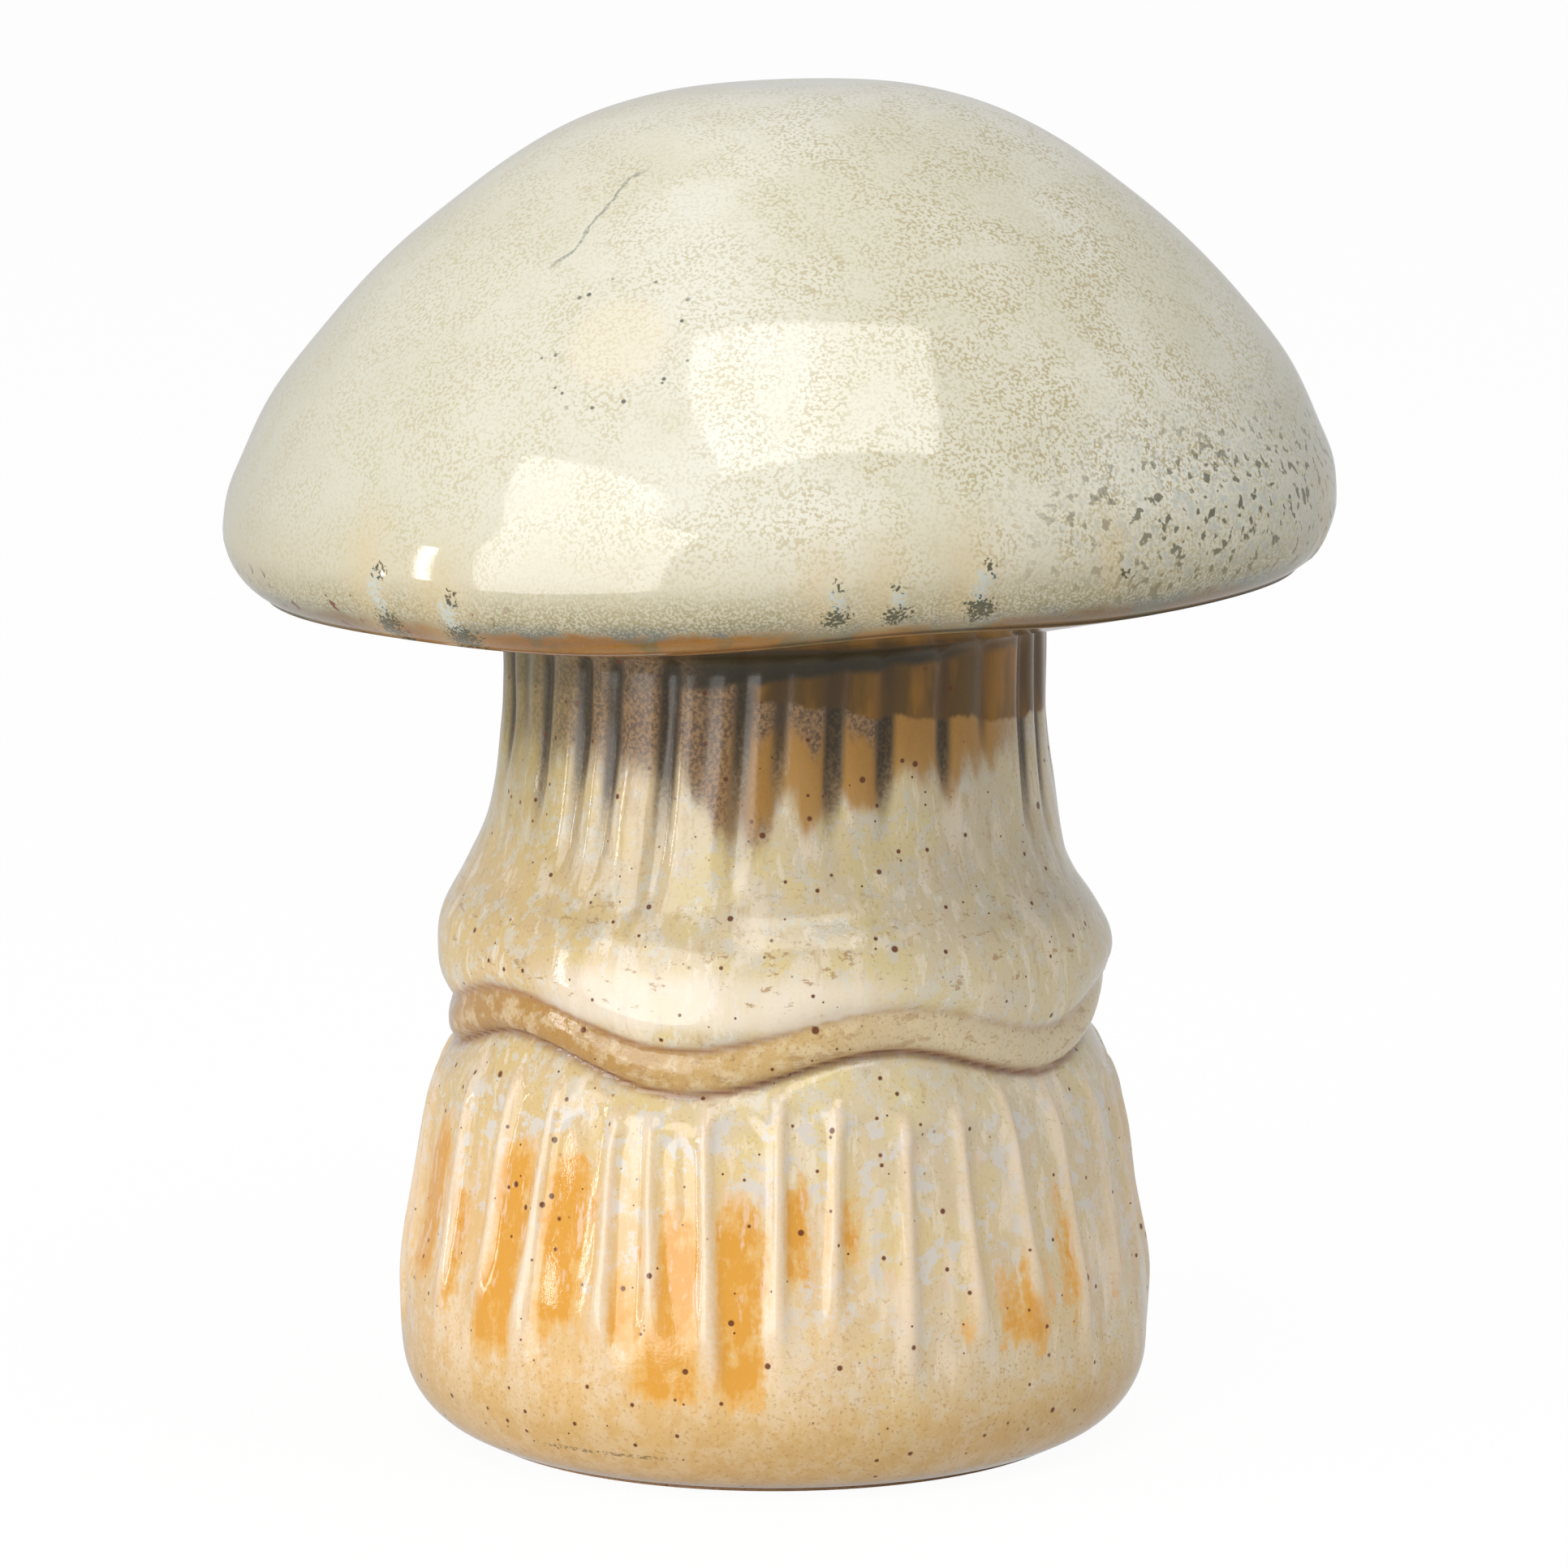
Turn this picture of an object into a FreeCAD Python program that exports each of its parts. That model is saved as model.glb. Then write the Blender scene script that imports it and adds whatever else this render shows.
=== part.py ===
import FreeCAD, Part
import math
import os
import Sketcher

# A glazed stoneware mushroom ornament, 120 mm tall. A hollow cap and a hollow stem are slip cast,
# luted together with slip, dressed with a ring and a neck coil of clay, glazed and fired as one.
# Frame: millimetres, +Z up, the origin at the centre of the foot, +X to the right and -Y to the front.

os.makedirs("parts", exist_ok=True)
doc = FreeCAD.newDocument("mushroom_ornament")
sizes = doc.addObject("Spreadsheet::Sheet", "sizes")
FULL_TURN = 360


def add_sizes(title, **values):
    """Writes one block of driving dimensions: a title row, then name and value on each row."""
    row = add_sizes.next_row
    sizes.set(f"A{row}", title)
    for name, value in values.items():
        row += 1
        sizes.set(f"A{row}", name)
        sizes.set(f"B{row}", str(value))
        sizes.setAlias(f"B{row}", name)
    add_sizes.next_row = row + 2
    doc.recompute()


add_sizes.next_row = 1


def origin_part(body, role):
    """The plane or axis of the body's own origin that has this role."""
    return next(part for part in body.Origin.OriginFeatures if part.Role == role)


def new_sketch(body, name, plane):
    """An empty sketch on one of the body's own origin planes."""
    sketch = body.newObject("Sketcher::SketchObject", name)
    sketch.AttachmentSupport = [(origin_part(body, plane), "")]
    sketch.MapMode = "FlatFace"
    return sketch


def bind(sketch, kind, *where_and_size):
    """Adds a dimension to the sketch and ties it to an expression of the sheet."""
    *where, start, expression = where_and_size
    index = sketch.addConstraint(Sketcher.Constraint(kind, *where, start))
    sketch.setExpression(f"Constraints[{index}]", expression)


# Geometry ids that every sketch has: its origin point and its two axes.
ROOT, H_AXIS, V_AXIS = -1, -1, -2
START, END, CENTRE = 1, 2, 3


def circle_section(body, name, height, radius, shift="0"):
    """A round section at a height, for a loft. The circle starts between two flutes."""
    sketch = new_sketch(body, name, "XY_Plane")
    start_radius = sizes.get("clay_wall")
    sketch.addGeometry(Part.Circle(FreeCAD.Vector(), FreeCAD.Vector(0, 0, 1), start_radius), False)
    sketch.addConstraint(Sketcher.Constraint("Coincident", 0, CENTRE, ROOT, START))
    bind(sketch, "Radius", 0, start_radius, radius)
    sketch.setExpression(".AttachmentOffset.Base.x", shift)
    sketch.setExpression(".AttachmentOffset.Base.z", height)
    sketch.setExpression(".AttachmentOffset.Rotation.Angle", "180 / sizes.flute_count")
    return sketch


def loft(body, name, sections):
    """A smooth skin through round sections, each given as height, radius and sideways shift."""
    sketches = [circle_section(body, f"{name}_{i}", *section) for i, section in enumerate(sections)]
    feature = body.newObject("PartDesign::AdditiveLoft", name)
    feature.Profile = sketches[0]
    feature.Sections = sketches[1:]
    feature.Ruled = False
    return feature


def between(first, second, share):
    """An expression for a size that lies between two sizes of the sheet."""
    return f"sizes.{first} + {share} * (sizes.{second} - sizes.{first})"


# Glaze and clay thicknesses, which every form below is offset by
add_sizes(
    "Coats and walls",
    glaze_thickness=0.7,
    clay_wall=5.0,
    slip_thickness=0.5,
)
AT_SURFACE = "0"
CLAY = "sizes.glaze_thickness"
HOLLOW = "(sizes.glaze_thickness + sizes.clay_wall)"


# Stem forms
# The same outline serves the glazed surface, the clay surface inside it and the hollow inside that:
# a quarter-round foot, a bulb that draws in to a crease, a skirt above it and a straight neck.
add_sizes(
    "Stem",
    bulb_radius=33.7,
    bulb_height=11.0,
    foot_rounding=8.0,
    crease_radius=27.8,
    crease_height=37.5,
    skirt_radius=30.0,
    skirt_height=43.0,
    neck_radius=24.3,
    neck_height=66.0,
)
# Shares of the way up and of the way in, from the bulb to the crease, on to the skirt, then to the neck.
bulb_to_crease_shares = ((0.18, 0.035), (0.40, 0.21), (0.62, 0.36), (0.78, 0.53), (0.90, 0.78))
crease_to_skirt_shares = ((0.38, 0.45),)
skirt_to_neck_shares = ((0.18, 0.12), (0.35, 0.50), (0.52, 0.76), (0.72, 0.89), (0.88, 0.965))


def stem_sections(skin):
    """The round sections from the top of the foot to the neck, a skin's thickness inside the glaze."""
    stations = [("sizes.foot_rounding", "sizes.bulb_radius"), ("sizes.bulb_height", "sizes.bulb_radius")]
    for lower, upper, shares in (
        ("bulb", "crease", bulb_to_crease_shares),
        ("crease", "skirt", crease_to_skirt_shares),
        ("skirt", "neck", skirt_to_neck_shares),
    ):
        for up, across in shares:
            height = between(f"{lower}_height", f"{upper}_height", up)
            radius = between(f"{lower}_radius", f"{upper}_radius", across)
            stations.append((height, radius))
        stations.append((f"sizes.{upper}_height", f"sizes.{upper}_radius"))
    return [(height, f"{radius} - {skin}") for height, radius in stations]


def turn(body, name, sketch):
    """Turns a sketch's outline all the way round the sketch's upright axis."""
    feature = body.newObject("PartDesign::Revolution", name)
    feature.Profile = sketch
    feature.ReferenceAxis = (sketch, ["V_Axis"])
    feature.Angle = FULL_TURN
    return feature


def join_ends(sketch, *joints):
    """Closes an outline: each joint names one line's end and the next line's end."""
    for first, first_end, second, second_end in joints:
        sketch.addConstraint(Sketcher.Constraint("Coincident", first, first_end, second, second_end))


def add_rounded_foot(body, skin):
    """The quarter-round under the bulb, turned about the stem's axis."""
    sketch = new_sketch(body, f"{body.Name}_foot_outline", "XZ_Plane")
    start_rounding = sizes.get("foot_rounding")
    wall = FreeCAD.Vector(sizes.get("bulb_radius"), start_rounding, 0)
    corner, top = FreeCAD.Vector(wall.x - start_rounding, 0, 0), FreeCAD.Vector(0, wall.y, 0)
    arc_centre = FreeCAD.Vector(corner.x, wall.y, 0)
    arc = Part.Circle(arc_centre, FreeCAD.Vector(0, 0, 1), start_rounding)
    sketch.addGeometry(Part.LineSegment(FreeCAD.Vector(), corner), False)
    sketch.addGeometry(Part.ArcOfCircle(arc, -math.pi / 2, 0), False)
    sketch.addGeometry(Part.LineSegment(wall, top), False)
    sketch.addGeometry(Part.LineSegment(top, FreeCAD.Vector()), False)
    floor, rounding, lid, axis = range(4)
    join_ends(sketch, (floor, END, rounding, START), (rounding, END, lid, START),
              (lid, END, axis, START), (axis, END, floor, START))
    sketch.addConstraint(Sketcher.Constraint("PointOnObject", axis, START, V_AXIS))
    sketch.addConstraint(Sketcher.Constraint("Vertical", axis))
    sketch.addConstraint(Sketcher.Constraint("Horizontal", floor))
    sketch.addConstraint(Sketcher.Constraint("Horizontal", lid))
    sketch.addConstraint(Sketcher.Constraint("Vertical", rounding, CENTRE, floor, END))
    sketch.addConstraint(Sketcher.Constraint("Horizontal", rounding, CENTRE, lid, START))
    bind(sketch, "Radius", rounding, start_rounding, f"sizes.foot_rounding - {skin}")
    bind(sketch, "DistanceX", ROOT, START, lid, START, wall.x, f"sizes.bulb_radius - {skin}")
    bind(sketch, "DistanceY", ROOT, START, lid, START, wall.y, "sizes.foot_rounding")
    turn(body, f"{body.Name}_foot", sketch)


def add_column(body, name, radius, bottom, top):
    """An upright round column on the stem's axis."""
    sketch = circle_section(body, f"{body.Name}_{name}_outline", bottom, radius)
    column = body.newObject("PartDesign::Pad", f"{body.Name}_{name}")
    column.Profile = sketch
    column.setExpression("Length", f"{top} - ({bottom})")


def stem_form(name, skin):
    """A solid of the stem's outline up to its neck, a skin's thickness inside the glazed surface."""
    body = doc.addObject("PartDesign::Body", name)
    loft(body, f"{name}_wall", stem_sections(skin))
    add_rounded_foot(body, skin)
    return body


# Tool marks
# Flutes round the bulb and narrower grooves down the neck, each one stroke of a loop tool that goes
# in and comes out again, so the cut is a long spindle that only dips into the wall.
add_sizes(
    "Tool marks",
    flute_count=36,
    flute_tool_radius=4.2,
    flute_tool_length=70.0,
    flute_depth=0.5,
    groove_count=30,
    groove_tool_radius=1.3,
    groove_tool_length=20.0,
    groove_height=65.0,
    groove_depth=0.55,
)
flute_height_share, flute_radius_share = bulb_to_crease_shares[1]
flute_height = between("bulb_height", "crease_height", flute_height_share)
flute_wall = between("bulb_radius", "crease_radius", flute_radius_share)
bulb_slope = "atan((sizes.bulb_radius - sizes.crease_radius) / (sizes.crease_height - sizes.bulb_height))"


def add_strokes(body, mark, wall, height, slope):
    """Cuts one spindle-shaped stroke into the wall and repeats it all round the stem."""
    sketch = new_sketch(body, f"{body.Name}_{mark}_outline", "XZ_Plane")
    start_length = sizes.get(f"{mark}_tool_length")
    top, bottom = FreeCAD.Vector(0, start_length / 2, 0), FreeCAD.Vector(0, -start_length / 2, 0)
    side = FreeCAD.Vector(sizes.get(f"{mark}_tool_radius"), 0, 0)
    sketch.addGeometry(Part.Arc(bottom, side, top), False)
    sketch.addGeometry(Part.LineSegment(top, bottom), False)
    bow, axis = range(2)
    sketch.addConstraint(Sketcher.Constraint("Coincident", bow, END, axis, START))
    sketch.addConstraint(Sketcher.Constraint("Coincident", bow, START, axis, END))
    sketch.addConstraint(Sketcher.Constraint("Symmetric", axis, START, axis, END, ROOT, START))
    sketch.addConstraint(Sketcher.Constraint("PointOnObject", axis, START, V_AXIS))
    tool_radius, length = f"sizes.{mark}_tool_radius", f"sizes.{mark}_tool_length"
    bind(sketch, "DistanceY", axis, END, axis, START, start_length, length)
    bow_radius = f"{length} * {length} / (8 * {tool_radius}) + {tool_radius} / 2"
    bind(sketch, "Radius", bow, sketch.Geometry[bow].Radius, bow_radius)
    sketch.setExpression(".AttachmentOffset.Base.x", f"{wall} + {tool_radius} - sizes.{mark}_depth")
    sketch.setExpression(".AttachmentOffset.Base.y", height)
    sketch.setExpression(".AttachmentOffset.Rotation.Angle", slope)
    stroke = body.newObject("PartDesign::Groove", f"{body.Name}_{mark}")
    stroke.Profile = sketch
    stroke.ReferenceAxis = (sketch, ["V_Axis"])
    stroke.Angle = FULL_TURN
    doc.recompute()
    strokes = body.newObject("PartDesign::PolarPattern", f"{body.Name}_{mark}s")
    strokes.Originals = [stroke]
    strokes.Axis = (origin_part(body, "Z_Axis"), [""])
    strokes.Angle = FULL_TURN
    strokes.setExpression("Occurrences", f"sizes.{mark}_count")
    body.Tip = strokes
    doc.recompute()


# Neck joint
# The neck stands in a shallow round seat in the cap's underside, and its spigot goes on through the
# pour opening above the seat. A layer of slip fills the play round both.
add_sizes(
    "Neck joint",
    seat_height=76.4,
    spigot_radius=21.0,
    spigot_length=5.0,
    overrun=4.0,
)
shoulder_height = "(sizes.seat_height - sizes.slip_thickness)"
neck_clay_radius = f"(sizes.neck_radius - {CLAY})"


def cylinder(name, radius, bottom, height, x="0", y="0"):
    """An upright cylinder standing at a height."""
    shape = doc.addObject("Part::Cylinder", name)
    shape.setExpression("Radius", radius)
    shape.setExpression("Height", height)
    shape.setExpression(".Placement.Base.x", x)
    shape.setExpression(".Placement.Base.y", y)
    shape.setExpression(".Placement.Base.z", bottom)
    return shape


def combine(kind, name, shapes):
    """A boolean of the document: a Part::MultiFuse or Part::MultiCommon of several shapes."""
    result = doc.addObject(kind, name)
    result.Shapes = shapes
    return result


def cut(name, base, *tools):
    """The base without the tools."""
    result = doc.addObject("Part::Cut", name)
    result.Base = base
    result.Tool = tools[0] if len(tools) == 1 else combine("Part::MultiFuse", f"{name}_tools", list(tools))
    return result


# Cap forms
# The underside runs from a flat round the neck, up a shallow cone, to a rounded rim. The dome above
# the rim is given as shares of the crown's height, each with its share of the rim's radius. The cap
# sits a little to the right and its crown leans further. The joint is where the neck's axis meets the
# underside, and about it the whole cap rolls a little to the left and nods forward.
add_sizes(
    "Cap",
    joint_height=73.7,
    rim_radius=49.7,
    rim_rounding=6.4,
    underside_depth=9.4,
    underside_flat_radius=27.8,
    crown_height=37.4,
    crown_lean=1.8,
    cap_shift=0.7,
    cap_roll=1.8,
    cap_nod=1.1,
)
cap_place = "placement(vector(0; 0; sizes.joint_height); rotation(0; -sizes.cap_roll; sizes.cap_nod))"
dome_shares = (
    (0.0, 1.0), (0.08, 0.992), (0.16, 0.967), (0.32, 0.907), (0.48, 0.813), (0.62, 0.712),
    (0.735, 0.610), (0.845, 0.496), (0.93, 0.374), (0.982, 0.243), (1.0, 0.12),
)


def add_underside(body, skin):
    """The part of the cap below its rim, turned about the cap's axis."""
    sketch = new_sketch(body, f"{body.Name}_underside_outline", "XZ_Plane")
    sketch.setExpression(".AttachmentOffset.Base.x", "sizes.cap_shift")
    sketch.setExpression(".AttachmentOffset.Base.y", "sizes.underside_depth")
    middle = FreeCAD.Vector(0, -sizes.get("underside_depth"), 0)
    flat_end = FreeCAD.Vector(sizes.get("underside_flat_radius"), middle.y, 0)
    rim, arc_radius = FreeCAD.Vector(sizes.get("rim_radius"), 0, 0), sizes.get("rim_rounding")
    circle = Part.Circle(FreeCAD.Vector(rim.x - arc_radius, 0, 0), FreeCAD.Vector(0, 0, 1), arc_radius)
    arc = Part.ArcOfCircle(circle, -math.pi / 2, 0)
    sketch.addGeometry(Part.LineSegment(middle, flat_end), False)
    sketch.addGeometry(Part.LineSegment(flat_end, arc.StartPoint), False)
    sketch.addGeometry(arc, False)
    sketch.addGeometry(Part.LineSegment(rim, FreeCAD.Vector()), False)
    sketch.addGeometry(Part.LineSegment(FreeCAD.Vector(), middle), False)
    flat, cone, rounding, lid, axis = range(5)
    join_ends(sketch, (flat, END, cone, START), (rounding, END, lid, START),
              (lid, END, axis, START), (axis, END, flat, START))
    sketch.addConstraint(Sketcher.Constraint("Coincident", axis, START, ROOT, START))
    sketch.addConstraint(Sketcher.Constraint("Vertical", axis))
    sketch.addConstraint(Sketcher.Constraint("Horizontal", flat))
    sketch.addConstraint(Sketcher.Constraint("Horizontal", lid))
    sketch.addConstraint(Sketcher.Constraint("PointOnObject", rounding, CENTRE, H_AXIS))
    sketch.addConstraint(Sketcher.Constraint("Tangent", cone, END, rounding, START))
    bind(sketch, "Radius", rounding, arc_radius, f"sizes.rim_rounding - {skin}")
    bind(sketch, "DistanceX", ROOT, START, rounding, END, rim.x, f"sizes.rim_radius - {skin}")
    bind(sketch, "DistanceX", ROOT, START, flat, END, flat_end.x, "sizes.underside_flat_radius")
    bind(sketch, "DistanceY", flat, START, ROOT, START, -middle.y, f"sizes.underside_depth - {skin}")
    turn(body, f"{body.Name}_underside", sketch)


def cap_form(name, skin):
    """A solid of the cap's outline, a skin's thickness inside the glazed surface."""
    body = doc.addObject("PartDesign::Body", name)
    sections = [
        (f"sizes.underside_depth + {up} * (sizes.crown_height - {skin})",
         f"{across} * (sizes.rim_radius - {skin})", f"sizes.cap_shift + {up} * sizes.crown_lean")
        for up, across in dome_shares
    ]
    loft(body, f"{name}_dome", sections)
    add_underside(body, skin)
    body.setExpression("Placement", cap_place)
    return body


cap_glazed_form = cap_form("cap_glazed_form", AT_SURFACE)
cap_clay_form = cap_form("cap_clay_form", CLAY)
cap_hollow_form = cap_form("cap_hollow_form", HOLLOW)
cap_shell = cut("cap_shell", cap_clay_form, cap_hollow_form)


# Cap casting: the shell with its neck seat and pour opening, cut upright in the tilted cap
seat_cylinder = cylinder(
    "seat_cylinder", f"{neck_clay_radius} + sizes.slip_thickness",
    "sizes.seat_height - sizes.overrun", "sizes.overrun",
)
opening_cylinder = cylinder(
    "opening_cylinder", "sizes.spigot_radius + sizes.slip_thickness",
    "sizes.seat_height - sizes.overrun", "2 * sizes.overrun + sizes.clay_wall",
)
neck_seat = combine("Part::MultiFuse", "neck_seat", [seat_cylinder, opening_cylinder])
cap_casting = cut("cap_casting", cap_shell, neck_seat)


# Stem casting: wall, neck, spigot and dry foot in one casting, with a hollow and a kiln vent
add_sizes(
    "Foot",
    foot_radius=27.5,
    dry_foot_height=0.6,
    vent_radius=3.0,
    vent_offset=14.0,
)
spigot_top = f"({shoulder_height} + sizes.spigot_length)"
stem_clay_form = stem_form("stem_clay_form", CLAY)
add_column(stem_clay_form, "neck", neck_clay_radius, "sizes.neck_height", shoulder_height)
add_column(stem_clay_form, "spigot", "sizes.spigot_radius", shoulder_height, spigot_top)
add_column(stem_clay_form, "foot_disc", "sizes.foot_radius", "0", "sizes.foot_rounding")
stem_hollow_form = stem_form("stem_hollow_form", HOLLOW)
add_column(stem_hollow_form, "throat", f"sizes.neck_radius - {HOLLOW}", "sizes.neck_height",
           f"{spigot_top} + sizes.overrun")
kiln_vent = cylinder(
    "kiln_vent", "sizes.vent_radius", "-sizes.overrun",
    "2 * sizes.overrun + sizes.clay_wall", y="sizes.vent_offset",
)
stem_casting = cut("stem_casting", stem_clay_form, stem_hollow_form, kiln_vent)


# Luting slip: what the seat and opening hold round the stem
slip_in_seat = combine("Part::MultiCommon", "slip_in_seat", [cap_shell, neck_seat])
luting_slip = cut("luting_slip", slip_in_seat, stem_clay_form)


# Neck coil: soft clay pressed into the corner under the cap with a rounded tool
# The corner is square to the cap, so it shares the cap's tilt, and its hollow face starts a little
# inside the neck's wall.
add_sizes(
    "Neck coil",
    coil_rounding=3.1,
    coil_sink=0.2,
)


def corner_form(name, skin):
    """A disc with a hollow quarter-round edge that fills the corner between neck and underside."""
    body = doc.addObject("PartDesign::Body", name)
    sketch = new_sketch(body, f"{name}_outline", "XZ_Plane")
    start_rounding = sizes.get("coil_rounding")
    low = FreeCAD.Vector(sizes.get("neck_radius"), -start_rounding, 0)
    high = FreeCAD.Vector(low.x + start_rounding, 0, 0)
    top = FreeCAD.Vector(high.x, sizes.get("overrun"), 0)
    top_middle, low_middle = FreeCAD.Vector(0, top.y, 0), FreeCAD.Vector(0, low.y, 0)
    arc = Part.Circle(FreeCAD.Vector(high.x, low.y, 0), FreeCAD.Vector(0, 0, 1), start_rounding)
    sketch.addGeometry(Part.ArcOfCircle(arc, math.pi / 2, math.pi), False)
    sketch.addGeometry(Part.LineSegment(high, top), False)
    sketch.addGeometry(Part.LineSegment(top, top_middle), False)
    sketch.addGeometry(Part.LineSegment(top_middle, low_middle), False)
    sketch.addGeometry(Part.LineSegment(low_middle, low), False)
    rounding, edge, lid, axis, floor = range(5)
    join_ends(sketch, (rounding, START, edge, START), (edge, END, lid, START),
              (lid, END, axis, START), (axis, END, floor, START), (floor, END, rounding, END))
    sketch.addConstraint(Sketcher.Constraint("Vertical", edge))
    sketch.addConstraint(Sketcher.Constraint("Horizontal", lid))
    sketch.addConstraint(Sketcher.Constraint("Vertical", axis))
    sketch.addConstraint(Sketcher.Constraint("Horizontal", floor))
    sketch.addConstraint(Sketcher.Constraint("PointOnObject", axis, START, V_AXIS))
    sketch.addConstraint(Sketcher.Constraint("Vertical", rounding, CENTRE, edge, START))
    sketch.addConstraint(Sketcher.Constraint("Horizontal", rounding, CENTRE, floor, END))
    bind(sketch, "Radius", rounding, start_rounding, f"sizes.coil_rounding - {skin}")
    bind(sketch, "DistanceX", ROOT, START, rounding, CENTRE, high.x,
         "sizes.neck_radius - sizes.glaze_thickness - sizes.coil_sink + sizes.coil_rounding")
    bind(sketch, "DistanceY", rounding, CENTRE, ROOT, START, start_rounding,
         "sizes.coil_rounding - sizes.glaze_thickness")
    bind(sketch, "DistanceY", ROOT, START, lid, START, top.y, "sizes.overrun")
    turn(body, f"{name}_disc", sketch)
    body.setExpression("Placement", cap_place)
    return body


coil_form = corner_form("coil_form", AT_SURFACE)
neck_coil = cut("neck_coil", coil_form, cap_clay_form, stem_clay_form)


# Ring coil: a roll of clay laid round the stem in waves, under the skirt
add_sizes(
    "Ring coil",
    ring_radius=27.7,
    ring_height=38.9,
    ring_wave_height=1.8,
    ring_wave_count=5,
    ring_wave_turn=20.0,
    ring_half_height=1.9,
    ring_half_depth=1.1,
)
# Each wave runs from one trough to the next, through this many sections.
SECTIONS_PER_WAVE = 9


def ring_section(angle, skin):
    """The roll's oval section, square to its wavy line at an angle round the stem."""
    radius, waves = sizes.get("ring_radius"), sizes.get("ring_wave_count")
    wave_height = sizes.get("ring_wave_height")
    rise = -wave_height * math.cos(waves * angle)
    climb = wave_height * waves * math.sin(waves * angle) / radius
    outward = FreeCAD.Vector(math.cos(angle), math.sin(angle), 0)
    along = FreeCAD.Vector(-math.sin(angle), math.cos(angle), climb).normalize()
    middle = outward * radius + FreeCAD.Vector(0, 0, sizes.get("ring_height") + rise)
    upward = outward.cross(along)
    oval = Part.Ellipse(middle + upward * (sizes.get("ring_half_height") + skin),
                        middle + outward * (sizes.get("ring_half_depth") + skin), middle)
    return Part.Wire([oval.toShape()])


def ring_form(name, skin):
    """The whole ring: one wave lofted through its sections, then turned and joined to make all of them."""
    waves = int(sizes.get("ring_wave_count"))
    wave_turn = 2 * math.pi / waves
    angles = [wave_turn * i / (SECTIONS_PER_WAVE - 1) for i in range(SECTIONS_PER_WAVE)]
    one_wave = Part.makeLoft([ring_section(angle, skin) for angle in angles], True, False, False)
    # The crest right of the front sets the turn. A wave's crest is half a wave after its start.
    first_turn = sizes.get("ring_wave_turn") - FULL_TURN / 4 - FULL_TURN / waves / 2
    turned = []
    for wave in range(waves):
        copy = one_wave.copy()
        copy.rotate(FreeCAD.Vector(), FreeCAD.Vector(0, 0, 1), first_turn + wave * FULL_TURN / waves)
        turned.append(copy)
    feature = doc.addObject("Part::Feature", name)
    feature.Shape = turned[0].multiFuse(turned[1:]).Solids[0]
    return feature


ring_clay_form = ring_form("ring_clay_form", 0)
ring_glazed_form = ring_form("ring_glazed_form", sizes.get("glaze_thickness"))
ring_coil = cut("ring_coil", ring_clay_form, stem_clay_form)


# Cap glaze: the glazed surface less the clay, up to the stem's glaze in the corner under the cap
glazed_corner_form = corner_form("glazed_corner_form", CLAY)
cap_glaze = cut("cap_glaze", cap_glazed_form, cap_clay_form, glazed_corner_form)


# Stem glaze: the tooled surface with the ring and the neck's corner, less all the clay under it
stem_glazed_form = stem_form("stem_glazed_form", AT_SURFACE)
add_column(stem_glazed_form, "neck", "sizes.neck_radius", "sizes.neck_height",
           "sizes.joint_height + sizes.overrun")
add_strokes(stem_glazed_form, "flute", flute_wall, flute_height, bulb_slope)
add_strokes(stem_glazed_form, "groove", "sizes.neck_radius", "sizes.groove_height", "0")
stem_dipped = combine(
    "Part::MultiFuse", "stem_dipped", [stem_glazed_form, glazed_corner_form, ring_glazed_form],
)
wiped_foot = cylinder(
    "wiped_foot", "2 * sizes.bulb_radius",
    "-sizes.overrun", "sizes.overrun + sizes.dry_foot_height",
)
stem_glaze = cut(
    "stem_glaze", stem_dipped,
    cap_clay_form, wiped_foot, neck_coil, stem_clay_form, ring_clay_form,
)


# Check and write
doc.recompute()
for thing in doc.Objects:
    failed = {"Invalid", "Error"} & set(thing.State)
    if failed:
        raise RuntimeError(f"{thing.Label}: {', '.join(sorted(failed))}")

pieces = (cap_casting, stem_casting, ring_coil, luting_slip, neck_coil, cap_glaze, stem_glaze)
for piece in pieces:
    shape = piece.Shape
    if shape.isNull() or not shape.isValid() or not shape.Solids:
        raise RuntimeError(f"{piece.Label}: no valid solid")
    shape.exportStep(f"parts/{piece.Label}.step")
    print(piece.Label, len(shape.Solids), "solid,", round(shape.Volume), "cubic mm")
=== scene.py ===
import bpy
import math
import numpy as np
from mathutils import Matrix, Vector


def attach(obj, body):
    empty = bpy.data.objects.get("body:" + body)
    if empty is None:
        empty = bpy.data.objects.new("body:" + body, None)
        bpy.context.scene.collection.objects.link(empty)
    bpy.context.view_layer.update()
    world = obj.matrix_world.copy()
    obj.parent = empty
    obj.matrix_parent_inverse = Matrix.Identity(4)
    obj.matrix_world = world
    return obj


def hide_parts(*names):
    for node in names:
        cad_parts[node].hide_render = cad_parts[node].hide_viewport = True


# A glazed stoneware mushroom ornament, 120 mm tall, dressed piece by piece as a potter makes it: the
# bare castings, the cap's glaze coat, the stem's glaze coat, and then the studio round it. Lengths of
# the object are in millimetres, and are turned to metres where a mesh is made. Angles round the stem
# are in degrees from the front towards the right.
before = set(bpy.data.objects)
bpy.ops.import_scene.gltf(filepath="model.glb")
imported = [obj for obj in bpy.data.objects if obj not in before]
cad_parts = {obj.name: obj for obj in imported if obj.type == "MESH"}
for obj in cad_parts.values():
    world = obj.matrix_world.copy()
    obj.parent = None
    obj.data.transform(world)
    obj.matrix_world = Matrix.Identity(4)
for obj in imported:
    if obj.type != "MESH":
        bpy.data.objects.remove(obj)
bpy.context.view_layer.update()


# Bare castings
# The cap and stem are slip cast in a buff stoneware that fires to a warm, gritty brown. It shows only
# at the wiped foot and in the kiln vent. The coils and the luting slip are the same body.
MM = 0.001


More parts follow.
